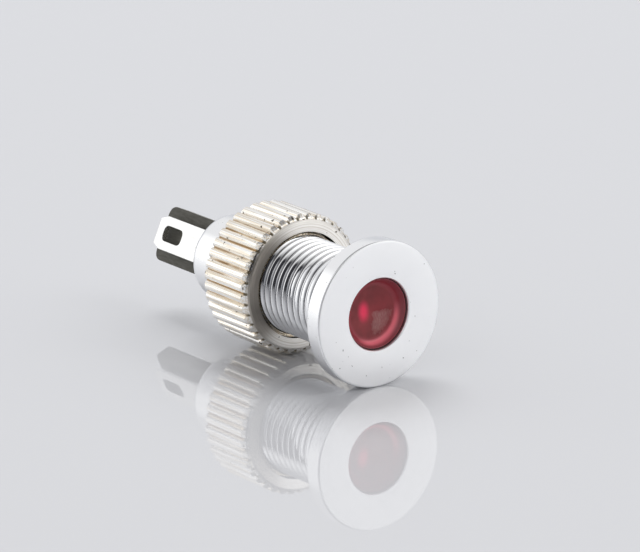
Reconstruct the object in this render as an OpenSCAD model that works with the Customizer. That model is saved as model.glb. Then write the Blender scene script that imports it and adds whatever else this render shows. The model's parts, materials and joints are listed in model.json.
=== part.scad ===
// Panel pilot light: a turned metal lamp with a flat flange, a dished red
// lens, a fine-threaded shank with a deep knurled ring nut, and two solder
// tabs with an insulating divider between them.
// The lamp's axis lies along Y, with the flange at the -Y end. The origin
// is on the axis, in the plane of the flange's back face, which seats on
// the panel. Millimetres, +Z up.

/* [Flange] */
// outside diameter of the flange
flange_d = 11.8; // [11.2:0.1:12.4]
// thickness of the flange
flange_t = 1.5; // [1.2:0.1:2]
// rounding of the flange's front edge
flange_round = 0.16; // [0.1:0.02:0.24]
// chamfer on the flange's rear edge
flange_rear_chamfer = 0.12; // [0.06:0.02:0.2]
// diameter of the lens hole in the flange
lens_hole_d = 5.8; // [5.4:0.1:5.9]

/* [Shank] */
// outside diameter of the fine thread
thread_d = 8; // [7.9:0.1:8.2]
// length of the threaded part behind the flange
thread_len = 13.2; // [12:0.1:14]
// distance from one turn of the thread to the next
thread_pitch = 0.75; // [0.5:0.05:1]
// outside diameter of the plain tail behind the thread
tail_d = 7.1; // [6.9:0.1:7.2]
// distance from the flange's back face to the end of the tail
tail_end = 19.1; // [18.5:0.1:19.5]
// radius of the rolled-over edge at the end of the tail
tail_round = 0.9; // [0.8:0.05:0.9]
// diameter of the opening left inside the rolled edge
lip_d = 5.1; // [5:0.05:5.15]

/* [Lens] */
// depth of the lens rim below the flange's front face
lens_recess = 0.25; // [0.15:0.05:0.4]
// width of the flat rim round the dish in the lens
lens_rim = 0.08; // [0.05:0.01:0.15]
// how far the dish's wall slopes inwards
dish_wall = 0.4; // [0.3:0.05:0.6]
// depth of the dish at the foot of its wall
dish_depth = 0.65; // [0.5:0.05:0.8]
// further depth at the point in the middle of the dish
dish_point = 0.2; // [0.1:0.05:0.3]
// thickness of the lens's rear shoulder
lens_shoulder = 0.5; // [0.4:0.1:0.6]

/* [Knurled nut] */
// outside diameter over the ribs
nut_d = 11.5; // [11.2:0.1:11.8]
// length of the nut
nut_len = 5.5; // [5:0.1:5.8]
// distance from the flange's back face to the nut's front face
nut_start = 8.5; // [8:0.1:9]
// number of grooves round the nut
groove_count = 38; // [34:1:42]
// radius of the bottom of each groove
groove_r = 0.3; // [0.25:0.01:0.34]
// depth of each groove below the ribs
groove_depth = 0.4; // [0.32:0.02:0.44]
// turn of the nut about the lamp's axis, in degrees
nut_turn = 1.3; // [0:0.1:9]
// chamfer on the nut's front edge
nut_chamfer = 0.42; // [0.32:0.02:0.5]
// chamfer on the nut's rear edge
nut_rear_chamfer = 0.15; // [0.1:0.05:0.4]
// width of the chamfer at each mouth of the nut's bore
mouth_chamfer = 0.27; // [0.15:0.02:0.4]

/* [Lamp parts] */
// diameter of the light-emitting diode's body
led_d = 5; // [4.9:0.05:5.1]
// length of the diode's body with its dome
led_len = 8.6; // [8.2:0.1:8.8]
// how far the diode's base flange stands out from its body
led_lip = 0.4; // [0.35:0.05:0.45]
// thickness of the insulating liner's wall
liner_t = 0.16; // [0.12:0.01:0.18]
// spacing of the two leads
lead_pitch = 2.54; // [2.4:0.02:2.6]
// thickness of a square lead
lead_t = 0.5; // [0.4:0.05:0.55]
// diameter of the series resistor
resistor_d = 1.7; // [1.6:0.05:1.8]
// length of the series resistor
resistor_len = 3.2; // [3:0.1:3.3]
// depth of the resin between the plug that holds the tabs and the rolled edge
resin_depth = 0.6; // [0.4:0.1:0.8]

/* [Solder tabs] */
// turn of the tabs about the lamp's axis, in degrees
tab_turn = 24; // [0:1:90]
// width of a tab
tab_w = 2.8; // [2.6:0.1:3]
// thickness of a tab
tab_t = 0.5; // [0.4:0.05:0.6]
// spacing of the two tabs, middle to middle
tab_pitch = 2.6; // [2.5:0.05:2.7]
// distance from the flange's back face to the tip of a tab
tab_end = 26.6; // [25.5:0.1:27.5]
// length of the slot in a tab
slot_len = 2.5; // [2:0.1:2.8]
// width of the slot in a tab
slot_w = 1.3; // [1:0.1:1.5]
// distance from a tab's tip to the middle of its slot
slot_inset = 2.1; // [1.8:0.1:2.4]
// width of the divider
divider_w = 4.6; // [4.2:0.1:4.7]
// thickness of the divider
divider_t = 1.2; // [1:0.05:1.3]
// how far the divider reaches past the tabs
divider_extra = 0.5; // [0.3:0.1:1]

/* [Hidden] */
$fn = 96;
// gap left between pieces that are pressed or potted together
snug = 0.02;
// running clearance of the nut on the shank, per side
run = 0.05;
// overlap used where a cut runs through a face
over = 0.1;

flange_r = flange_d / 2;
thread_r = thread_d / 2;
tail_r = tail_d / 2;
led_r = led_d / 2;
led_base_r = led_r + led_lip;
hollow_r = led_base_r + liner_t + 2 * snug;
lens_hole_r = lens_hole_d / 2;
lip_r = lip_d / 2;
front = -flange_t;

// the step behind the lens hole, against which the lens seats
lip_back = 0.5;
lens_front = front + lens_recess;
lens_back = lip_back + lens_shoulder;
dish_mouth_r = lens_hole_r - snug - lens_rim;
dish_foot_r = dish_mouth_r - dish_wall;
dish_foot = lens_front + dish_depth;

led_top = lens_back + 0.05;
led_back = led_top + led_len;
led_base_t = 1;
led_base_front = led_back - led_base_t;

// stations of the wiring behind the diode
resistor_front = led_back + 0.85;
resistor_back = resistor_front + resistor_len;
wire_d = 0.45;
sleeve_r = 0.62;
sleeve_gap = 0.7;
lead_x = lead_pitch / 2;
joint_d = 1.2;
tab_x = tab_pitch / 2;
tab_front = resistor_back + 0.7;
base_front = tab_front + 0.6;
roll_start = tail_end - tail_round;
base_back = roll_start - resin_depth;
lip_t = 0.4;
lip_front = tail_end - lip_t;
resin_back = lip_front - snug;
divider_front = base_front + 0.5;
divider_end = tab_end + divider_extra;
slot_mid = tab_end - slot_inset;
thread_runout = 0.5;

// a 60-degree thread, cut as plain rings one pitch apart
thread_depth = 0.6134 * thread_pitch;
root_w = thread_pitch / 6;
first_groove = 0.1 + thread_pitch / 2;
last_groove = thread_len - thread_pitch / 2;

nut_r = nut_d / 2;
nut_bore_r = thread_r + run;
nut_end = nut_start + nut_len;

// turns a shape made along +Z so that it runs along +Y
module along_y() {
    rotate([-90, 0, 0])
        children();
}

// a shape made along +Z, turned with the tabs about the lamp's axis
module with_tabs() {
    along_y()
        rotate([0, 0, tab_turn])
            children();
}

// a plain disc or bar between two stations on the axis
module bar(r, from, to) {
    translate([0, 0, from])
        cylinder(r = r, h = to - from);
}

// a cone between two stations on the axis
module cone(r_from, r_to, from, to) {
    translate([0, 0, from])
        cylinder(r1 = r_from, r2 = r_to, h = to - from);
}

// a square bar beside the axis
module square_bar(x, side, from, to) {
    translate([x - side / 2, -side / 2, from])
        cube([side, side, to - from]);
}

// a flat blade whose faces look along X
module blade(x, thickness, width, from, to) {
    translate([x - thickness / 2, -width / 2, from])
        cube([thickness, width, to - from]);
}

// a round-cornered or chamfered outline is swept through the thickness
module plate(x, thickness) {
    translate([x - thickness / 2, 0, 0])
        rotate([90, 0, 90])
            linear_extrude(height = thickness)
                children();
}

// one ring of the thread's groove, centred at a station on the axis
module thread_groove(at) {
    flank = tan(30);
    translate([0, 0, at])
        rotate_extrude()
            polygon([
                [thread_r - thread_depth, -root_w / 2],
                [thread_r + over, -root_w / 2 - (thread_depth + over) * flank],
                [thread_r + over, root_w / 2 + (thread_depth + over) * flank],
                [thread_r - thread_depth, root_w / 2]
            ]);
}

// turned and plated metal: flange, threaded shank and rolled tail
module lamp_body() {
    color([0.80, 0.81, 0.83])
    along_y()
    difference() {
        union() {
            bar(flange_r - flange_round, front, 0);
            bar(flange_r, front + flange_round, -flange_rear_chamfer);
            cone(flange_r, flange_r - flange_rear_chamfer,
                 -flange_rear_chamfer, 0);
            translate([0, 0, front + flange_round])
                rotate_extrude()
                    translate([flange_r - flange_round, 0])
                        circle(r = flange_round);
            bar(thread_r, -over, thread_len);
            cone(thread_r, tail_r, thread_len, thread_len + thread_runout);
            bar(tail_r, thread_len, roll_start);
            bar(tail_r - tail_round, roll_start - over, tail_end);
            translate([0, 0, roll_start])
                rotate_extrude()
                    translate([tail_r - tail_round, 0])
                        circle(r = tail_round);
        }
        for (at = [first_groove : thread_pitch : last_groove])
            thread_groove(at);
        bar(lens_hole_r, front - over, lip_back + over);
        bar(hollow_r, lip_back, tail_end - tail_round + 0.1);
        cone(hollow_r, lip_r, tail_end - tail_round + 0.1, lip_front);
        bar(lip_r, lip_front - 0.01, tail_end + over);
    }
}

// red translucent window, dished at the front, shouldered at the back
module lens() {
    color([0.70, 0.06, 0.12])
    along_y()
    difference() {
        union() {
            bar(lens_hole_r - snug, lens_front, lip_back + 0.01);
            bar(hollow_r - snug, lip_back, lens_back);
        }
        cone(dish_mouth_r, dish_foot_r, lens_front, dish_foot);
        cone(dish_foot_r, 0, dish_foot - 0.001, dish_foot + dish_point);
    }
}

// sealed light-emitting diode, with the flat that marks its cathode
module led() {
    color([0.85, 0.20, 0.18])
    along_y()
    difference() {
        union() {
            translate([0, 0, led_top + led_r])
                sphere(r = led_r);
            bar(led_r, led_top + led_r, led_back);
            bar(led_base_r, led_base_front, led_back);
        }
        rotate([0, 0, tab_turn])
            translate([-2 * led_base_r, -led_base_r, led_base_front - over])
                cube([2 * led_base_r - led_r, 2 * led_base_r, led_base_t + 2 * over]);
    }
}

// white moulded tube that centres the diode behind the lens
module led_holder() {
    color([0.92, 0.92, 0.90])
    along_y()
    difference() {
        bar(hollow_r - snug, lens_back, led_base_front);
        bar(led_r + snug, lens_back - over, led_base_front + over);
    }
}

module anode_lead() {
    color([0.78, 0.78, 0.76])
    with_tabs()
        square_bar(lead_x, lead_t, led_back, led_back + 0.45);
}

module cathode_lead() {
    color([0.78, 0.78, 0.76])
    with_tabs()
        square_bar(-lead_x, lead_t, led_back, tab_front);
}

// thin tube that keeps the long lead clear of the resistor
module lead_sleeve() {
    color([0.16, 0.16, 0.17])
    with_tabs()
    translate([-lead_x, 0, 0])
    difference() {
        bar(sleeve_r, led_back + 0.2, tab_front - sleeve_gap);
        bar(lead_t * 0.7072 + snug, led_back, tab_front);
    }
}

module resistor() {
    cap_start = 0.15;
    cap_end = 0.9;
    color([0.80, 0.68, 0.48])
    with_tabs()
    translate([lead_x, 0, 0]) {
        bar(resistor_d / 2 - 0.1, resistor_front, resistor_back);
        bar(resistor_d / 2, resistor_front + cap_start, resistor_front + cap_end);
        bar(resistor_d / 2, resistor_back - cap_end, resistor_back - cap_start);
    }
}

module resistor_front_lead() {
    color([0.76, 0.76, 0.74])
    with_tabs()
    translate([lead_x, 0, 0])
        bar(wire_d / 2, led_back + 0.45, resistor_front);
}

module resistor_rear_lead() {
    color([0.76, 0.76, 0.74])
    with_tabs()
    translate([lead_x, 0, 0])
        bar(wire_d / 2, resistor_back, tab_front);
}

// insulating tube between the wiring and the metal shank
module insulating_liner() {
    color([0.90, 0.88, 0.82])
    along_y()
    difference() {
        bar(hollow_r - snug, led_base_front, base_front);
        bar(led_base_r + snug, led_base_front - over, base_front + over);
    }
}

// solder where the diode's short lead meets the resistor's lead
module lead_joint() {
    color([0.70, 0.71, 0.72])
    with_tabs()
    difference() {
        translate([lead_x, 0, 0])
            bar(joint_d / 2, led_back + 0.12, resistor_front - 0.1);
        square_bar(lead_x, lead_t, led_back, led_back + 0.45);
        translate([lead_x, 0, 0])
            bar(wire_d / 2, led_back + 0.4, resistor_front);
    }
}

// solder where the resistor's lead meets the end of a tab
module anode_joint() {
    color([0.70, 0.71, 0.72])
    with_tabs()
    difference() {
        translate([tab_x, 0, 0])
            bar(joint_d / 2, tab_front - 0.45, tab_front + 0.5);
        translate([lead_x, 0, 0])
            bar(wire_d / 2, resistor_back, tab_front);
        blade(tab_x, tab_t, tab_w, tab_front, base_front);
    }
}

module cathode_joint() {
    color([0.70, 0.71, 0.72])
    with_tabs()
    difference() {
        translate([-tab_x, 0, 0])
            bar(joint_d / 2, tab_front - 0.6, tab_front + 0.5);
        square_bar(-lead_x, lead_t, led_back, tab_front);
        blade(-tab_x, tab_t, tab_w, tab_front, base_front);
    }
}

// dark moulded plug that grips the tabs and the divider
module terminal_base() {
    color([0.17, 0.17, 0.16])
    with_tabs()
    difference() {
        bar(hollow_r - snug, base_front, base_back);
        for (side = [-1, 1])
            blade(side * tab_x, tab_t + 2 * snug, tab_w + 2 * snug,
                  base_front - over, base_back + over);
        blade(0, divider_t + 2 * snug, divider_w + 2 * snug,
              divider_front, base_back + over);
    }
}

// insulating blade that stands between the two tabs
module divider() {
    corner = 0.9;
    color([0.34, 0.33, 0.29])
    with_tabs()
    plate(0, divider_t) {
        translate([-divider_w / 2, divider_front])
            square([divider_w, divider_end - corner - divider_front]);
        translate([corner - divider_w / 2, divider_front])
            square([divider_w - 2 * corner, divider_end - divider_front]);
        for (side = [-1, 1])
            translate([side * (divider_w / 2 - corner), divider_end - corner])
                circle(r = corner);
    }
}

// outline of a tab: clipped corners at the tip and a slot for the wire
module tab_outline() {
    clip_w = 0.32;
    clip_l = 0.85;
    slot_r = 0.45;
    difference() {
        polygon([
            [-tab_w / 2, tab_front],
            [tab_w / 2, tab_front],
            [tab_w / 2, tab_end - clip_l],
            [tab_w / 2 - clip_w, tab_end],
            [clip_w - tab_w / 2, tab_end],
            [-tab_w / 2, tab_end - clip_l]
        ]);
        translate([-slot_w / 2, slot_mid - slot_len / 2 + slot_r])
            square([slot_w, slot_len - 2 * slot_r]);
        translate([slot_r - slot_w / 2, slot_mid - slot_len / 2])
            square([slot_w - 2 * slot_r, slot_len]);
        for (across = [-1, 1])
            for (along = [-1, 1])
                translate([
                    across * (slot_w / 2 - slot_r),
                    slot_mid + along * (slot_len / 2 - slot_r)
                ])
                    circle(r = slot_r);
    }
}

module anode_tab() {
    color([0.90, 0.90, 0.88])
    with_tabs()
    plate(tab_x, tab_t)
        tab_outline();
}

module cathode_tab() {
    color([0.90, 0.90, 0.88])
    with_tabs()
    plate(-tab_x, tab_t)
        tab_outline();
}

// resin poured round the tabs and held under the rolled edge
module sealing_resin() {
    color([0.10, 0.10, 0.10])
    with_tabs()
    difference() {
        union() {
            bar(hollow_r - snug, base_back, roll_start + 0.1);
            cone(hollow_r - snug, lip_r - snug, roll_start + 0.1, resin_back);
        }
        for (side = [-1, 1])
            blade(side * tab_x, tab_t + 2 * snug, tab_w + 2 * snug,
                  base_back - over, resin_back + over);
        blade(0, divider_t + 2 * snug, divider_w + 2 * snug,
              base_back - over, resin_back + over);
    }
}

// deep ring nut with straight ribs
module knurled_nut() {
    color([0.84, 0.80, 0.72])
    along_y()
    difference() {
        intersection() {
            translate([0, 0, nut_start])
                linear_extrude(height = nut_len)
                    difference() {
                        circle(r = nut_r);
                        for (i = [0 : groove_count - 1])
                            rotate([0, 0, nut_turn + i * 360 / groove_count])
                                translate([nut_r - groove_depth + groove_r, 0])
                                    circle(r = groove_r, $fn = 24);
                    }
            union() {
                cone(nut_r - nut_chamfer, nut_r, nut_start,
                     nut_start + nut_chamfer);
                bar(nut_r + over, nut_start + nut_chamfer,
                    nut_end - nut_rear_chamfer);
                cone(nut_r, nut_r - nut_rear_chamfer,
                     nut_end - nut_rear_chamfer, nut_end);
            }
        }
        bar(nut_bore_r, nut_start - over, nut_end + over);
        cone(nut_bore_r + mouth_chamfer, nut_bore_r, nut_start,
             nut_start + mouth_chamfer);
        cone(nut_bore_r, nut_bore_r + mouth_chamfer,
             nut_end - mouth_chamfer, nut_end);
    }
}

lamp_body();
lens();
led();
led_holder();
anode_lead();
cathode_lead();
lead_sleeve();
resistor();
resistor_front_lead();
resistor_rear_lead();
insulating_liner();
lead_joint();
anode_joint();
cathode_joint();
terminal_base();
divider();
anode_tab();
cathode_tab();
sealing_resin();
knurled_nut();
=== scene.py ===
import json
import math
import random

import bpy
from mathutils import Matrix, Vector


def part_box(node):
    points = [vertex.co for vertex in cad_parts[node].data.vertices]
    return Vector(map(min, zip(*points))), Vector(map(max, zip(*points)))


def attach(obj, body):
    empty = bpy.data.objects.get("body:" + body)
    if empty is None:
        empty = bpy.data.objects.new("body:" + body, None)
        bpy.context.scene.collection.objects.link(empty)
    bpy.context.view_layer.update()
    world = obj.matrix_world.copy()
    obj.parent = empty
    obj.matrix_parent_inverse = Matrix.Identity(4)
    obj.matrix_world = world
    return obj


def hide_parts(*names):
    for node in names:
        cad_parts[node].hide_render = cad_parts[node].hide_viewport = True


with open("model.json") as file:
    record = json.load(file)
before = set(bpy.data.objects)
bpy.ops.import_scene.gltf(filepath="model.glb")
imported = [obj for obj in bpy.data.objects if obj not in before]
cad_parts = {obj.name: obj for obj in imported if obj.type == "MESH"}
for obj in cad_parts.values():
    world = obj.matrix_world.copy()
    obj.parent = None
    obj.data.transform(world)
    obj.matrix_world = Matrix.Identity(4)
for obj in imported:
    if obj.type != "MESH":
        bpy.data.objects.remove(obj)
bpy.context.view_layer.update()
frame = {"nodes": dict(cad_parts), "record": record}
MM = 0.001


# Turned lamp body: a brass bar turned to a flat flange, a fine-threaded shank
# and a plain tail, plated with satin chrome. The tail's end is rolled inwards
# over the resin, so the whole body is one piece with no joint in it.

def eased(corners, steps=5):
    """A turned section's corners (radius, station, easing), as one smooth line."""
    line = []
    count = len(corners)
    for i, (r, y, ease) in enumerate(corners):
        here = Vector((r, y))
        before = Vector(corners[i - 1][:2]) - here
        after = Vector(corners[(i + 1) % count][:2]) - here
        if ease <= 0 or before.length == 0 or after.length == 0:
            line.append(here)
            continue
        half = before.angle(after) / 2
        run = min(ease / math.tan(half), before.length * 0.48, after.length * 0.48)
        start = here + before.normalized() * run
        end = here + after.normalized() * run
        for k in range(steps + 1):
            t = k / steps
            line.append(start * (1 - t) ** 2 + here * 2 * t * (1 - t) + end * t * t)
    return line


def new_piece(name, points, faces, crease, worn=None):
    """A mesh in millimetres, smooth except along its sharp edges."""
    mesh = bpy.data.meshes.new(name)
    mesh.from_pydata([Vector(p) * MM for p in points], [], faces)
    if worn:
        mesh.attributes.new("worn", "FLOAT", "POINT").data.foreach_set("value", worn)
    mesh.validate()
    mesh.update()
    mesh.shade_smooth()
    mesh.set_sharp_from_angle(angle=math.radians(crease))
    piece = bpy.data.objects.new(name, mesh)
    bpy.context.collection.objects.link(piece)
    return piece


def turned(line, columns):
    """Points and faces of a closed section spun round the lamp's axis."""
    points, faces = [], []
    rows = len(line)
    for c in range(columns):
        a = 2 * math.pi * c / columns
        for r, y in line:
            points.append((r * math.sin(a), y, r * math.cos(a)))
    for c in range(columns):
        this, other = c * rows, (c + 1) % columns * rows
        for k in range(rows):
            n = (k + 1) % rows
            faces.append((this + k, this + n, other + n, other + k))
    return points, faces


def screw_thread(crest, root, pitch, start, end, columns, fade, first=0):
    """A right-handed thread that runs out to its root at both ends."""
    flank = [(0, 1), (0.045, 0.995), (0.08, 0.96), (0.115, 0.87), (0.2, 0.62),
             (0.3, 0.34), (0.39, 0.11), (0.43, 0.04), (0.47, 0.005)]
    form = flank + [(0.5, 0)] + [(1 - u, h) for u, h in reversed(flank[1:])]
    per = len(form)
    turns = int((end - start) / pitch) + 3
    rows = turns * per
    points, faces = [], []
    for c in range(columns):
        around = c / columns
        a = 2 * math.pi * around
        for k in range(rows):
            u, h = form[k % per]
            y = start + (k // per - 1 + u + around) * pitch
            near = min(y - start, end - y)
            keep = min(1, max(0, near / fade))
            keep = keep * keep * (3 - 2 * keep)
            r = root + (crest - root) * h * keep
            y = min(max(y, start), end)
            points.append((r * math.sin(a), y, r * math.cos(a)))
    for c in range(columns):
        last = c == columns - 1
        this = first + c * rows
        other = first if last else this + rows
        step = per if last else 0
        for k in range(rows - 1 - step):
            p = (this + k, this + k + 1, other + k + 1 + step, other + k + step)
            ys = {points[i - first][1] for i in p}
            if len(ys) > 1 or ys.isdisjoint({start, end}):
                faces.append(p[::-1])
    return points, faces


def node(finish, kind, *values, props=None, **named):
    """Adds a shader node, with its inputs given in order or by name."""
    tree = finish.node_tree
    added = tree.nodes.new(kind)
    for key, value in (props or {}).items():
        setattr(added, key, value)
    pairs = [(added.inputs[i], v) for i, v in enumerate(values)]
    pairs += [(added.inputs[k.replace("_", " ")], v) for k, v in named.items()]
    for socket, value in pairs:
        if isinstance(value, bpy.types.NodeSocket):
            tree.links.new(value, socket)
        elif value is not None:
            socket.default_value = value
    return added


def sums(finish, how, *values):
    return node(finish, "ShaderNodeMath", *values, props={"operation": how}).outputs[0]


def between(finish, value, low, high, at_low=0.0, at_high=1.0):
    """Maps a value smoothly from one range to another."""
    return node(finish, "ShaderNodeMapRange", value, low, high, at_low, at_high,
                props={"interpolation_type": "SMOOTHSTEP"}).outputs[0]


def band(finish, value, rise, full, fade, end):
    """1 between full and fade, falling smoothly to 0 at rise and at end."""
    return sums(finish, "MULTIPLY", between(finish, value, rise, full),
                between(finish, value, end, fade))


def tint(finish, amount, first, second):
    """Mixes two colours by an amount."""
    mix = finish.node_tree.nodes.new("ShaderNodeMix")
    mix.data_type = "RGBA"
    for socket, value in zip((mix.inputs[0], mix.inputs[6], mix.inputs[7]),
                             (amount, first, second)):
        if isinstance(value, bpy.types.NodeSocket):
            finish.node_tree.links.new(value, socket)
        else:
            socket.default_value = value if isinstance(value, float) else (*value, 1)
    return mix.outputs[2]


def grain(finish, where, scale, detail=3.0, rough=0.55, flat=None):
    """Noise at so many grains a millimetre, in space or along one line."""
    props = {"noise_dimensions": "1D" if flat else "3D"}
    named = {"W": where} if flat else {"Vector": where}
    return node(finish, "ShaderNodeTexNoise", props=props, Scale=scale, Detail=detail,
                Roughness=rough, **named).outputs[0]


def new_finish(name, **plain):
    """A material, its shader, and its place in millimetres and in polar terms."""
    finish = bpy.data.materials.new(name)
    finish.use_nodes = True
    shader = finish.node_tree.nodes["Principled BSDF"]
    for key, value in plain.items():
        shader.inputs[key.replace("_", " ")].default_value = value
    spot = node(finish, "ShaderNodeTexCoord").outputs["Object"]
    mm = node(finish, "ShaderNodeVectorMath", spot, (1000, 1000, 1000),
              props={"operation": "MULTIPLY"}).outputs[0]
    axes = node(finish, "ShaderNodeSeparateXYZ", mm).outputs
    squares = [sums(finish, "MULTIPLY", axes[i], axes[i]) for i in (0, 2)]
    out = sums(finish, "SQRT", sums(finish, "ADD", *squares))
    return finish, shader, mm, axes, out


def feel(finish, shader, height, depth_mm, rough=None):
    """Links a height in millimetres and a roughness to the shader."""
    bump = node(finish, "ShaderNodeBump", Height=height, Strength=1.0,
                Distance=depth_mm * MM)
    finish.node_tree.links.new(bump.outputs[0], shader.inputs["Normal"])
    if rough is not None:
        finish.node_tree.links.new(rough, shader.inputs["Roughness"])


def colour(finish, shader, value):
    finish.node_tree.links.new(value, shader.inputs["Base Color"])


def hand_over(piece, finish, body, slot, *nodes):
    """Puts a piece on its body in place of the solids that it stands for."""
    piece.data.materials.append(finish)
    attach(piece, body)
    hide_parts(*nodes)


body_low, body_high = (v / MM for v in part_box("lamp_body"))
flange_r = min(body_high.x, -body_low.x, body_high.z)
flange_front = body_low.y
tail_end = body_high.y
shank_r = frame["record"]["mounts"][1]["dims"]["r_mm"]
thread_len = frame["record"]["mounts"][1]["dims"]["length_mm"]
thread_pitch = 0.75
thread_depth = 0.46
thread_root = shank_r - thread_depth
thread_fade = 0.35
tail_r = 3.55
tail_round = 0.9
lip_r = 2.56
lens_box = [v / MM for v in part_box("lens")]
bore_r = lens_box[1].x + 0.04
hole_r = 2.9
rolled_edge = [(tail_r - tail_round * (1 - math.cos(math.radians(k * 7.5))),
                tail_end - tail_round * (1 - math.sin(math.radians(k * 7.5))), 0)
               for k in range(12)]
lens_step = 0.5
body_section = eased([
    (hole_r, flange_front + 0.1, 0.02), (hole_r + 0.06, flange_front, 0.03),
    (flange_r, flange_front, 0.17), (flange_r, 0, 0.12),
    (thread_root - 0.06, 0, 0.1), (thread_root - 0.06, thread_len + 0.1, 0.02),
    (tail_r, thread_len + 0.5, 0.15), *rolled_edge,
    (lip_r, tail_end, 0.05), (lip_r, tail_end - 0.4, 0.05),
    (bore_r, tail_end - 0.8, 0.1), (bore_r, lens_step, 0), (hole_r, lens_step, 0)], 7)
points, faces = turned(body_section, 192)
thread = screw_thread(shank_r, thread_root, thread_pitch, 0.0, thread_len + thread_fade, 144,
                      thread_fade, len(points))
lamp_body = new_piece("turned_lamp_body", points + thread[0], faces + thread[1], 40)

chrome, shader, mm, (x, y, z), out = new_finish("satin_chrome", Metallic=1.0)
rings = grain(chrome, sums(chrome, "ADD", out, y), 9.0, 2.0, flat=True)
cloud = grain(chrome, mm, 1.1)
specks = grain(chrome, mm, 2.9, 1.0)
pits = between(chrome, specks, 0.765, 0.78)
# Painted shade: the thread's roots are painted dark grey, standing in for the shade and dark
# reflections between its flanks.
root_shade = sums(chrome, "MULTIPLY", between(chrome, out, shank_r - 0.13, shank_r - 0.34),
               band(chrome, y, 0.05, 0.15, thread_len, thread_len + 0.1))
plate_and_root_shade = tint(chrome, sums(chrome, "MULTIPLY", root_shade, 0.9), (0.94, 0.945, 0.955),
             (0.13, 0.13, 0.14))
colour(chrome, shader, tint(chrome, pits, plate_and_root_shade, (0.45, 0.45, 0.45)))
on_face = sums(chrome, "MAXIMUM", between(chrome, y, flange_front + 0.12, flange_front + 0.02),
               between(chrome, out, hole_r + 0.2, hole_r + 0.1))
satin = sums(chrome, "MULTIPLY_ADD", on_face, 0.34, 0.035)
height = sums(chrome, "MULTIPLY_ADD", cloud, 0.8, sums(chrome, "MULTIPLY", rings, 0.12))
feel(chrome, shader, height, 0.0015,
     sums(chrome, "MULTIPLY_ADD", cloud, 0.04, sums(chrome, "SUBTRACT", satin, 0.01)))
hand_over(lamp_body, chrome, "lamp", "chrome_plate", "lamp_body")


# Red lens: a moulded window of tinted clear plastic, dropped in from behind so
# that its shoulder seats inside the flange. Its dish has a sloping wall and a
# shallow pointed floor, scratched on one side. Its colour carries painted light:
# a crimson glow and a red glow at its left edge, a pale crescent highlight, a
# lighter sheen on the wall and round the foot, and a lighter painted reflection
# on the scratched patch.

lens_r = hole_r - 0.03
lens_front, lens_back = lens_box[0].y, lens_box[1].y
shoulder_r = lens_box[1].x
dish_foot = lens_front + 0.65
dish_foot_r = 2.38
centre_r = 0.002
dish_section = eased([
    (centre_r, dish_foot + 0.2, 0), (dish_foot_r, dish_foot, 0.42),
    (lens_r - 0.1, lens_front + 0.01, 0.08), (lens_r, lens_front + 0.07, 0.06),
    (lens_r, lens_step - 0.01, 0), (shoulder_r, lens_step + 0.01, 0.03),
    (shoulder_r, lens_back, 0.05), (centre_r, lens_back, 0)], 9)
points, faces = turned(dish_section, 192)
red_window = new_piece("dished_red_lens", points, faces, 50)

tinted, shader, mm, (x, y, z), out = new_finish("tinted_lens", IOR=1.49, Specular_IOR_Level=0.4)
swirl = grain(tinted, mm, 0.55, 2.0)
deep = tint(tinted, between(tinted, swirl, 0.3, 0.7), (0.185, 0.013, 0.017),
            (0.29, 0.024, 0.032))
# Painted sheen: the dish's wall is painted a lighter rose, and a lighter ring is painted round
# its foot.
wall_sheen_tone = tint(tinted, between(tinted, out, 2.4, 2.6), deep, (0.30, 0.055, 0.07))
foot = band(tinted, out, 1.98, 2.28, 2.42, 2.66)
foot_and_wall_sheen = tint(tinted, sums(tinted, "MULTIPLY", foot, 0.6), wall_sheen_tone, (0.40, 0.05, 0.07))


def drawn_out(finish, where, scale, lean=0):
    """Stretches a place along its axes, so that marks made there run one way."""
    return node(finish, "ShaderNodeMapping", where, Rotation=(0, math.radians(lean), 0),
                Scale=scale).outputs[0]


def spot_on_lens(mid_x, mid_z, wide_x, wide_z, lean, edge):
    """How far inside an oval patch of the window a place is, from 0 to 1."""
    place = node(tinted, "ShaderNodeCombineXYZ", X=sums(tinted, "SUBTRACT", x, mid_x), Y=0.0,
                 Z=sums(tinted, "SUBTRACT", z, mid_z)).outputs[0]
    turn = node(tinted, "ShaderNodeVectorRotate", place, Angle=math.radians(lean),
                props={"rotation_type": "Y_AXIS"}).outputs[0]
    oval = node(tinted, "ShaderNodeVectorMath", turn, (1 / wide_x, 1, 1 / wide_z),
                props={"operation": "MULTIPLY"}).outputs[0]
    far = node(tinted, "ShaderNodeVectorMath", oval, props={"operation": "LENGTH"})
    return between(tinted, far.outputs["Value"], 1.0, edge)


# Painted glow: a crimson spot left of the middle and a red patch at the left edge, standing in
# for light inside the lens.
glow = spot_on_lens(-0.75, 0.1, 0.75, 1.15, 8, 0.15)
lit = tint(tinted, sums(tinted, "MULTIPLY", glow, 0.95), foot_and_wall_sheen, (0.95, 0.03, 0.11))
edge_glow = spot_on_lens(-2.5, 0.1, 0.4, 1.3, 0, 0.1)
lit = tint(tinted, edge_glow, lit, (0.55, 0.06, 0.10))
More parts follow.
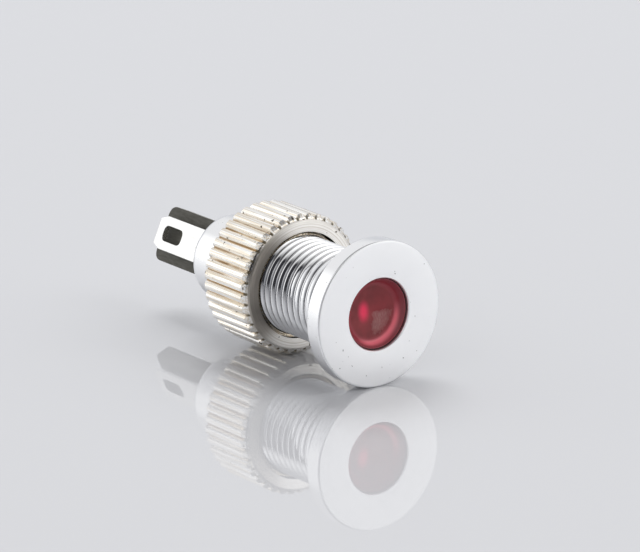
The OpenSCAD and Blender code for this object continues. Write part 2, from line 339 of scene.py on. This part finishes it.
# Painted highlight: a pale crescent low on the right of the dish's foot.
lowered = node(tinted, "ShaderNodeCombineXYZ", X=x, Y=0.0,
               Z=sums(tinted, "ADD", z, 0.12)).outputs[0]
low_out = node(tinted, "ShaderNodeVectorMath", lowered,
               props={"operation": "LENGTH"}).outputs["Value"]
lower_right = sums(tinted, "MULTIPLY_ADD", x, 0.62, sums(tinted, "MULTIPLY", z, -1.0))
crescent_highlight = sums(tinted, "MULTIPLY", between(tinted, lower_right, 0.7, 2.4),
                band(tinted, low_out, 2.08, 2.32, 2.36, 2.6))
lit = tint(tinted, crescent_highlight, lit, (0.97, 0.22, 0.27))
rim = between(tinted, out, 2.76, 2.84)
scratches = grain(tinted, drawn_out(tinted, mm, (9, 1, 1.6), 35), 1.6, 4.0, 0.65)
ragged = between(tinted, grain(tinted, mm, 1.6, 4.0, 0.65), 0.3, 0.7, -0.5, 0.5)
scratches_and_sheen = sums(tinted, "MULTIPLY",
              between(tinted, sums(tinted, "MULTIPLY_ADD", ragged, 0.3, x), -0.05, 0.35),
              sums(tinted, "MULTIPLY",
                   between(tinted, sums(tinted, "MULTIPLY_ADD", ragged, 0.3, z), 0.1, -0.4),
                   between(tinted, sums(tinted, "MULTIPLY_ADD", ragged, 0.3, out), 2.1, 1.5)))
fine = grain(tinted, mm, 7.0, 3.0)
# The patch's scratches are real relief and roughness; its lighter grey-pink colour is a painted
# reflection.
frosted_and_painted_reflection = sums(tinted, "MULTIPLY", scratches_and_sheen, between(tinted, scratches, 0.42, 0.6, 0.5, 1.0))
lit = tint(tinted, sums(tinted, "MULTIPLY", frosted_and_painted_reflection, 0.7), lit, (0.42, 0.22, 0.21))
colour(tinted, shader, tint(tinted, rim, lit, (0.09, 0.008, 0.010)))
height = sums(tinted, "MULTIPLY_ADD", scratches,
              sums(tinted, "MULTIPLY_ADD", scratches_and_sheen, 1.0, 0.12),
              sums(tinted, "MULTIPLY", fine, 0.1))
feel(tinted, shader, height, 0.02,
     sums(tinted, "MULTIPLY_ADD", scratches_and_sheen, 0.12, sums(tinted, "MULTIPLY_ADD", fine, 0.1, 0.2)))
hand_over(red_window, tinted, "lamp", "red_lens", "lens")


# Diode and its white holder: a clear-tinted epoxy diode stands in a moulded
# white tube behind the lens. Both are bought or moulded parts, pushed in from
# the back against the lens's shoulder.

def dress(name, finish):
    """Gives a carried-over solid its finish."""
    solid = frame["nodes"][name]
    for place in solid.material_slots:
        place.material = finish
    if not solid.material_slots:
        solid.data.materials.append(finish)


def marked(finish, shader, marks, first, second, depth_mm, rough, turn=(0.3, 0.7)):
    """Colour, relief and roughness that all follow the same marks."""
    colour(finish, shader, tint(finish, marks, first, second))
    feel(finish, shader, marks, depth_mm, between(finish, marks, *turn, *rough))


epoxy, shader, mm = new_finish("tinted_epoxy", IOR=1.5)[:3]
marked(epoxy, shader, grain(epoxy, mm, 1.1, 2.0),
       (0.75, 0.06, 0.06), (0.45, 0.02, 0.03), 0.01, (0.06, 0.16))
dress("led", epoxy)

white, shader, mm = new_finish("white_moulding", IOR=1.46)[:3]
mottle = grain(white, mm, 2.2)
colour(white, shader, tint(white, mottle, (0.86, 0.85, 0.82), (0.78, 0.77, 0.73)))
feel(white, shader, grain(white, mm, 12.0), 0.006, between(white, mottle, 0.3, 0.7, 0.4, 0.55))
dress("led_holder", white)


# Wiring inside the shank: the diode's square tinned leads, a black sleeve on
# the long one, and a small lacquered resistor in line with the short one. The
# leads are straight, soldered end to end before the liner goes over them.

wire, shader, mm = new_finish("tinned_wire", Metallic=1.0)[:3]
marked(wire, shader, grain(wire, drawn_out(wire, mm, (18, 0.6, 18)), 1.0),
       (0.80, 0.80, 0.78), (0.6, 0.6, 0.59), 0.006, (0.22, 0.42))
for lead in ("anode_lead", "cathode_lead", "resistor_front_lead", "resistor_rear_lead"):
    dress(lead, wire)

tube, shader, mm = new_finish("black_sleeve", IOR=1.5)[:3]
marked(tube, shader, grain(tube, mm, 3.0),
       (0.018, 0.018, 0.02), (0.035, 0.035, 0.037), 0.01, (0.45, 0.65))
dress("lead_sleeve", tube)

coat, shader, mm, (x, y, z) = new_finish("resistor_lacquer", IOR=1.5)[:4]
res_low, res_high = (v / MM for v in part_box("resistor"))
along = between(coat, y, res_low.y, res_high.y)
bands = node(coat, "ShaderNodeValToRGB", along).outputs[0]
ramp = bands.node.color_ramp
ramp.interpolation = "CONSTANT"
lacquer = (0.62, 0.45, 0.24)
ramp.elements[0].color = ramp.elements[1].color = (*lacquer, 1)
for at, shade in ((0.22, (0.02, 0.08, 0.3)), (0.4, (0.25, 0.26, 0.27)),
                  (0.56, (0.18, 0.06, 0.02)), (0.75, (0.5, 0.33, 0.05))):
    ramp.elements.new(at).color = (*shade, 1)
    ramp.elements.new(at + 0.07).color = (*lacquer, 1)
lumps = grain(coat, mm, 2.5)
colour(coat, shader, tint(coat, sums(coat, "MULTIPLY", lumps, 0.3), bands, (0.30, 0.20, 0.10)))
feel(coat, shader, lumps, 0.012, between(coat, lumps, 0.3, 0.7, 0.2, 0.35))
dress("resistor", coat)


# Liner, solder and base: a rolled film liner keeps the wiring off the metal
# shank. Each joint is a small bead of soft solder, frosted where it set, and a
# dark moulded plug grips the tabs at the back.

film, shader, mm = new_finish("liner_film", IOR=1.5)[:3]
marked(film, shader, grain(film, mm, 4.0),
       (0.80, 0.76, 0.66), (0.68, 0.63, 0.52), 0.006, (0.4, 0.6))
dress("insulating_liner", film)

solder, shader, mm = new_finish("soft_solder", Metallic=1.0)[:3]
marked(solder, shader, grain(solder, mm, 5.0),
       (0.72, 0.73, 0.74), (0.5, 0.51, 0.53), 0.03, (0.2, 0.5), (0.35, 0.65))
for joint in ("lead_joint", "anode_joint", "cathode_joint"):
    dress(joint, solder)

moulding, shader, mm = new_finish("dark_moulding", IOR=1.5)[:3]
marked(moulding, shader, grain(moulding, mm, 3.0),
       (0.022, 0.022, 0.02), (0.04, 0.04, 0.036), 0.015, (0.4, 0.6))
dress("terminal_base", moulding)


# Solder tabs and the blade between them: two tabs punched from bright plated
# brass sheet, each with clipped corners and an oblong slot for a wire, stand
# either side of a blade of dark insulating board. All three are gripped by the
# moulded base.

tab_low, tab_high = (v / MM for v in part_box("cathode_tab"))
tab_mid = (tab_low + tab_high) / 2
tab_turn = math.atan2(tab_mid.z, -tab_mid.x)
tab_cos, tab_sin = math.cos(tab_turn), math.sin(tab_turn)
tab_set = math.hypot(tab_mid.x, tab_mid.z)


def flat_size(low, high):
    """Width and thickness of a flat solid turned with the tabs, from its box."""
    wide, tall = high.x - low.x, high.z - low.z
    share = tab_cos * tab_cos - tab_sin * tab_sin
    return ((tall * tab_cos - wide * tab_sin) / share,
            (wide * tab_cos - tall * tab_sin) / share)


tab_w, tab_t = flat_size(tab_low, tab_high)
board_low, board_high = (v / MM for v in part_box("divider"))
board_w, board_t = flat_size(board_low, board_high)


def punched(name, outlines, thick, edge, aside):
    """A flat piece cut to its outlines, with eased edges, stood beside the axis."""
    sheet = bpy.data.curves.new(name, "CURVE")
    sheet.dimensions = "2D"
    sheet.fill_mode = "BOTH"
    sheet.extrude = (thick / 2 - edge) * MM
    sheet.bevel_depth = edge * MM
    sheet.bevel_resolution = 3
    sheet.offset = -edge * MM
    for outline in outlines:
        path = sheet.splines.new("POLY")
        path.points.add(len(outline) - 1)
        path.use_cyclic_u = True
        for spot, (u, v) in zip(path.points, outline):
            spot.co = (u * MM, v * MM, 0, 1)
    drawn_piece = bpy.data.objects.new(name + "_outline", sheet)
    bpy.context.collection.objects.link(drawn_piece)
    bpy.context.view_layer.update()
    ready = bpy.context.evaluated_depsgraph_get()
    mesh = bpy.data.meshes.new_from_object(drawn_piece.evaluated_get(ready))
    bpy.data.objects.remove(drawn_piece)
    mesh.name = name
    mesh.transform(Matrix(((-tab_sin, 0, tab_cos, aside * tab_cos * MM), (0, 1, 0, 0),
                           (-tab_cos, 0, -tab_sin, -aside * tab_sin * MM), (0, 0, 0, 1))))
    mesh.shade_smooth()
    mesh.set_sharp_from_angle(angle=math.radians(38))
    piece = bpy.data.objects.new(name, mesh)
    bpy.context.collection.objects.link(piece)
    return piece


slot_w, slot_l, slot_mid = 1.3, 2.5, tab_high.y - 2.1
clip_long, clip_wide = 0.85, 0.32
punched_edge = 0.04
tab_outline = eased([
    (-tab_w / 2, tab_low.y, 0), (tab_w / 2, tab_low.y, 0),
    (tab_w / 2, tab_high.y - clip_long, 0.12), (tab_w / 2 - clip_wide, tab_high.y, 0.08),
    (clip_wide - tab_w / 2, tab_high.y, 0.08), (-tab_w / 2, tab_high.y - clip_long, 0.12)], 7)
slot_outline = eased([
    (sx * slot_w / 2, slot_mid + sy * slot_l / 2, 0.5)
    for sx, sy in ((-1, -1), (-1, 1), (1, 1), (1, -1))], 7)
tabs = [punched(name, (tab_outline, slot_outline), tab_t, punched_edge, aside)
        for name, aside in (("cathode_solder_tab", -tab_set), ("anode_solder_tab", tab_set))]

plated, shader, mm = new_finish("bright_tab_plate", Metallic=1.0)[:3]
streaks = grain(plated, drawn_out(plated, mm, (6, 0.5, 6)), 1.5)
faint = between(plated, streaks, 0.3, 0.7)
colour(plated, shader, tint(plated, faint, (0.95, 0.95, 0.945), (0.88, 0.875, 0.86)))
feel(plated, shader, streaks, 0.003, between(plated, streaks, 0.3, 0.7, 0.16, 0.3))
for tab, solid in zip(tabs, ("cathode_tab", "anode_tab")):
    hand_over(tab, plated, "lamp", "tab_plate", solid)

blade_corner = 0.9
blade_outline = eased([
    (-board_w / 2, board_low.y, 0), (board_w / 2, board_low.y, 0),
    (board_w / 2, board_high.y, blade_corner), (-board_w / 2, board_high.y, blade_corner)], 12)
blade = punched("divider_blade", (blade_outline,), board_t, 0.06, 0)
board, shader, mm = new_finish("insulating_board", IOR=1.5)[:3]
marked(board, shader, grain(board, drawn_out(board, mm, (5, 0.8, 5)), 1.6, 4.0, 0.6),
       (0.105, 0.1, 0.08), (0.065, 0.062, 0.05), 0.012, (0.45, 0.7))
hand_over(blade, board, "lamp", "olive_board", "divider")


# Sealing resin: black resin poured round the tabs under the rolled edge. It
# has crept a little way up the tabs, the blade and the metal, and set glossy.

resin_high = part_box("sealing_resin")[1].y / MM
resin_level = resin_high - 0.12
resin_low = resin_high - 0.6
resin_r = 2.52


def creep(x, z):
    """Height of the resin over its middle level, from what stands in it."""
    u = x * tab_cos - z * tab_sin
    v = -x * tab_sin - z * tab_cos
    near = max(0, resin_r - math.hypot(x, z))
    for mid, half_t, half_w in ((0, board_t / 2, board_w / 2),
                                (tab_set, tab_t / 2, tab_w / 2),
                                (-tab_set, tab_t / 2, tab_w / 2)):
        near = min(near, math.hypot(max(0, abs(u - mid) - half_t), max(0, abs(v) - half_w)))
    return 0.11 * math.exp(-near / 0.14) + 0.012 * math.sin(3 * x + 1) * math.cos(2.6 * z)


rings_in, columns = 34, 120
points = [(0, resin_level + creep(0, 0), 0)]
faces = []
for k in range(1, rings_in + 1):
    for n in range(columns):
        r, a = resin_r * k / rings_in, 2 * math.pi * n / columns
        px, pz = r * math.sin(a), r * math.cos(a)
        points.append((px, resin_level + creep(px, pz), pz))
for n in range(columns):
    a = 2 * math.pi * n / columns
    points.append((resin_r * math.sin(a), resin_low, resin_r * math.cos(a)))
points.append((0, resin_low, 0))
for n in range(columns):
    m = (n + 1) % columns
    faces.append((0, 1 + n, 1 + m))
    for k in range(rings_in):
        a, b = 1 + k * columns, 1 + (k + 1) * columns
        faces.append((a + n, b + n, b + m, a + m))
    base = 1 + rings_in * columns
    faces.append((base + n, len(points) - 1, base + m))
resin = new_piece("sealing_resin_fill", points, faces, 50)
pitch_black, shader, mm = new_finish("black_resin", IOR=1.52)[:3]
marked(pitch_black, shader, grain(pitch_black, mm, 1.8),
       (0.012, 0.012, 0.012), (0.03, 0.029, 0.027), 0.03, (0.12, 0.35), (0.35, 0.7))
hand_over(resin, pitch_black, "lamp", "black_resin", "sealing_resin")


# Knurled nut: a deep ring nut turned from brass bar, its ribs cut by a
# straight knurling wheel, then nickel plated. The plate is cream-white on the
# ribs and brown in the grooves. The grooves' front ends carry painted shade,
# and the left of the front ring is painted darker as a painted reflection.

nut_low, nut_high = (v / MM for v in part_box("knurled_nut"))
nut_front, nut_back = nut_low.y, nut_high.y
rib_r = nut_high.z
groove_count = 38
groove_depth = 0.4
groove_half = 0.27
nut_turn = math.radians(91.3)
nut_bore = 4.05
mouth = nut_bore + 0.27
ring_edge = 5.18
over_ribs = rib_r + 0.01
rng = random.Random(7)
rib_wear = [rng.random() for _ in range(groove_count)]


def rib_height(share):
    """Radius over one pitch of the knurl, from the middle of a groove."""
    across = abs(share - round(share)) * 2 * math.pi * rib_r / groove_count
    wear = rib_wear[int(share + 0.5) % groove_count]
    floor = rib_r - groove_depth + 0.02 + 0.03 * wear
    floor += groove_depth * (across / groove_half) ** 1.1
    pitch_half = math.pi * rib_r / groove_count
    crown = rib_r - 0.035 * (1 - (across - groove_half) / (pitch_half - groove_half)) ** 2
    blend = 0.05
    gap = max(0, blend - abs(floor - crown)) / blend
    return min(floor, crown) - gap * gap * blend / 4


nut_section = eased([
    (mouth, nut_front, 0.05), (ring_edge, nut_front + 0.02, 0.06),
    (5.36, nut_front + 0.18, 0.05), (5.46, nut_front + 0.24, 0.03),
    (over_ribs, nut_front + 0.52, 0.1),
    *[(over_ribs, nut_front + along_rib, 0) for along_rib in (1.2, 2.4, 3.6, 4.6)],
    (over_ribs, nut_back - 0.16, 0.06), (rib_r - 0.15, nut_back, 0.05),
    (mouth, nut_back, 0.05), (nut_bore + 0.36, nut_back - 0.02, 0),
    (nut_bore + 0.36, nut_front + 0.02, 0)], 4)
per_rib = 20
rib_blend = 0.03
columns = groove_count * per_rib
points, faces, sunk = [], [], []
for n in range(columns):
    a = nut_turn + 2 * math.pi * n / columns
    limit = rib_height(n / per_rib)
    for r, y in nut_section:
        if r > mouth + 0.3:
            gap = max(0, rib_blend - abs(r - limit)) / rib_blend
            r = min(r, limit) - gap * gap * rib_blend / 4
        points.append((r * math.sin(a), y, r * math.cos(a)))
        sunk.append((rib_r - limit) / groove_depth if y > nut_front + 0.1 and r > 5 else 0.0)
rows = len(nut_section)
for n in range(columns):
    this, other = n * rows, (n + 1) % columns * rows
    for k in range(rows):
        m = (k + 1) % rows
        faces.append((this + k, this + m, other + m, other + k))
cut = screw_thread(nut_bore + 0.3, nut_bore, thread_pitch, nut_front + 0.12,
                   nut_back - 0.12, 128, 0.3, len(points))
points, faces = points + cut[0], faces + [f[::-1] for f in cut[1]]
sunk += [0.0] * len(cut[0])
knurled = new_piece("knurled_ring_nut", points, faces, 36, sunk)

nickel, shader, mm, (x, y, z), out = new_finish("worn_nickel", Metallic=1.0)
streaks = grain(nickel, drawn_out(nickel, mm, (6.5, 0.12, 6.5)), 1.3, 3.0, 0.6)
turnings = grain(nickel, out, 9.0, 4.0, flat=True)
blotch = grain(nickel, drawn_out(nickel, mm, (1, 0.35, 1)), 0.8, 3.0, 0.55)
groove = node(nickel, "ShaderNodeAttribute", props={"attribute_name": "worn"}).outputs["Fac"]
side = between(nickel, y, nut_front + 0.1, nut_front + 0.16)
low = between(nickel, groove, 0.5, 1.0)
stain = sums(nickel, "MULTIPLY", low, between(nickel, blotch, 0.35, 0.62, 0.35, 1.0))
clean = tint(nickel, between(nickel, streaks, 0.45, 0.56), (1.0, 0.99, 0.965),
             (0.83, 0.755, 0.64))
browned = tint(nickel, stain, clean, (0.46, 0.32, 0.17))
# Painted shade: the grooves' front ends are painted dark.
groove_end_shade = sums(nickel, "MULTIPLY", between(nickel, groove, 0.3, 0.7),
                   between(nickel, y, nut_front + 0.6, nut_front + 0.42))
ribs_with_end_shade = tint(nickel, groove_end_shade, browned, (0.20, 0.17, 0.12))
ring = tint(nickel, between(nickel, turnings, 0.4, 0.62), (0.98, 0.96, 0.92),
            (0.78, 0.74, 0.68))
# Painted reflection: the left of the front ring is painted darker, standing in for the dark
# shank and flange that it mirrors there.
painted_dark_patch = sums(nickel, "MULTIPLY", between(nickel, x, -0.8, -3.8),
              between(nickel, z, -4.4, -3.0))
ring_with_dark_patch = tint(nickel, sums(nickel, "MULTIPLY", painted_dark_patch, 0.85), ring, (0.36, 0.325, 0.28))
pits = between(nickel, grain(nickel, mm, 2.2, 2.0), 0.68, 0.72)
colour(nickel, shader, tint(nickel, pits, tint(nickel, side, ring_with_dark_patch, ribs_with_end_shade),
                            (0.10, 0.08, 0.06)))
height = node(nickel, "ShaderNodeMix", side, None, turnings, streaks).outputs[0]
feel(nickel, shader, height, 0.012,
     sums(nickel, "MULTIPLY_ADD", side, -0.16, between(nickel, blotch, 0.3, 0.7, 0.28, 0.4)))
hand_over(knurled, nickel, "nut", "nickel_plate", "knurled_nut")


# Table, soft light and camera: a pale glossy table under the lamp, which lies
# on its side on the flange's rim, a bright studio round it, and the camera in
# front, to the left and a little above.

table_z = body_low.z
table_half = 900
table_mesh = bpy.data.meshes.new("table_top")
table_mesh.from_pydata([(sx * table_half * MM, sy * table_half * MM, table_z * MM)
                        for sx, sy in ((-1, -1), (1, -1), (1, 1), (-1, 1))], [], [(0, 1, 2, 3)])
table = bpy.data.objects.new("table_top", table_mesh)
bpy.context.collection.objects.link(table)
top = bpy.data.materials.new("pale_gloss_table")
top.use_nodes = True
top.node_tree.nodes.clear()
polish = node(top, "ShaderNodeBsdfGlossy", Color=(1, 1, 1, 1), Roughness=0.015)
sheen = node(top, "ShaderNodeBsdfGlossy", Color=(0.98, 0.985, 1, 1), Roughness=0.55)
matt = node(top, "ShaderNodeBsdfDiffuse", Color=(0.612, 0.617, 0.637, 1))
facing = node(top, "ShaderNodeLayerWeight", Blend=0.5).outputs["Facing"]
graze = sums(top, "POWER", facing, 4.0)
soft = node(top, "ShaderNodeMixShader", sums(top, "MULTIPLY_ADD", graze, 0.5, 0.02),
            matt.outputs[0], sheen.outputs[0])
both = node(top, "ShaderNodeMixShader", sums(top, "MULTIPLY_ADD", graze, 0.9, 0.04),
            soft.outputs[0], polish.outputs[0])
node(top, "ShaderNodeOutputMaterial", both.outputs[0])
table_mesh.materials.append(top)

studio = bpy.data.worlds.new("studio")
bpy.context.scene.world = studio
studio.use_nodes = True
studio.node_tree.nodes.clear()
way = node(studio, "ShaderNodeTexCoord").outputs["Generated"]
wz = node(studio, "ShaderNodeSeparateXYZ", way).outputs["Z"]


def towards(heading, height, outer, inner):
    """How near a direction is to one heading and height, from 0 outside to 1 inside."""
    a, e = math.radians(heading), math.radians(height)
    aim = (math.sin(a) * math.cos(e), math.cos(a) * math.cos(e), math.sin(e))
    near = node(studio, "ShaderNodeVectorMath", way, aim, props={"operation": "DOT_PRODUCT"})
    return between(studio, near.outputs["Value"], math.cos(math.radians(outer)),
                   math.cos(math.radians(inner)))


room = tint(studio, between(studio, wz, 0.2, 0.5), (0.66, 0.67, 0.70), (0.85, 0.85, 0.86))
room = tint(studio, towards(-40, 8, 36, 18), room, (1.2, 1.2, 1.2))
room = tint(studio, towards(143, 16, 34, 16), room, (1.32, 1.32, 1.32))
room = tint(studio, towards(196, 8, 42, 22), room, (0.03, 0.03, 0.035))
room = tint(studio, towards(180, 48, 22, 10), room, (1.1, 1.1, 1.1))
room = tint(studio, between(studio, wz, 0.7, 0.9), room, (0.3, 0.3, 0.31))
path = node(studio, "ShaderNodeLightPath")
seen = node(studio, "ShaderNodeBackground", Color=(0.716, 0.723, 0.753, 1), Strength=1.0)
felt = node(studio, "ShaderNodeBackground", Color=room, Strength=1.0)
shown = node(studio, "ShaderNodeMixShader", path.outputs["Is Camera Ray"],
             felt.outputs[0], seen.outputs[0])
node(studio, "ShaderNodeOutputWorld", shown.outputs[0])


def softbox(name, heading, height, distance, size, power):
    """A square soft lamp, aimed at the object from a heading and a height."""
    lamp = bpy.data.lights.new(name, "AREA")
    lamp.shape = "SQUARE"
    lamp.size = size
    lamp.energy = power
    holder = bpy.data.objects.new(name, lamp)
    a, e = math.radians(heading), math.radians(height)
    outward = Vector((math.sin(a) * math.cos(e), math.cos(a) * math.cos(e), math.sin(e)))
    holder.location = outward * distance + Vector((0, 8 * MM, 0))
    holder.rotation_euler = outward.to_track_quat("Z", "Y").to_euler()
    holder.visible_glossy = False
    bpy.context.collection.objects.link(holder)


softbox("rear_softbox", 30, 58, 0.7, 0.4, 2.8)
softbox("front_softbox", 140, 42, 0.7, 0.25, 0.5)

camera = bpy.data.objects.new("camera", bpy.data.cameras.new("camera"))
bpy.context.collection.objects.link(camera)
heading, height = math.radians(36.6), math.radians(16.45)
sight = Vector((math.sin(heading) * math.cos(height), math.cos(heading) * math.cos(height),
                -math.sin(height)))
looked_at = Vector((1.33, 8.0, 0.63)) * MM
camera_distance = 0.3962
camera.location = looked_at - sight * camera_distance
camera.rotation_euler = (-sight).to_track_quat("Z", "Y").to_euler()
camera.data.sensor_width = 36
camera.data.lens = 281.25
camera.data.clip_start = 0.01
camera.data.clip_end = 10
bpy.context.scene.camera = camera
bpy.context.scene.view_settings.view_transform = "Standard"
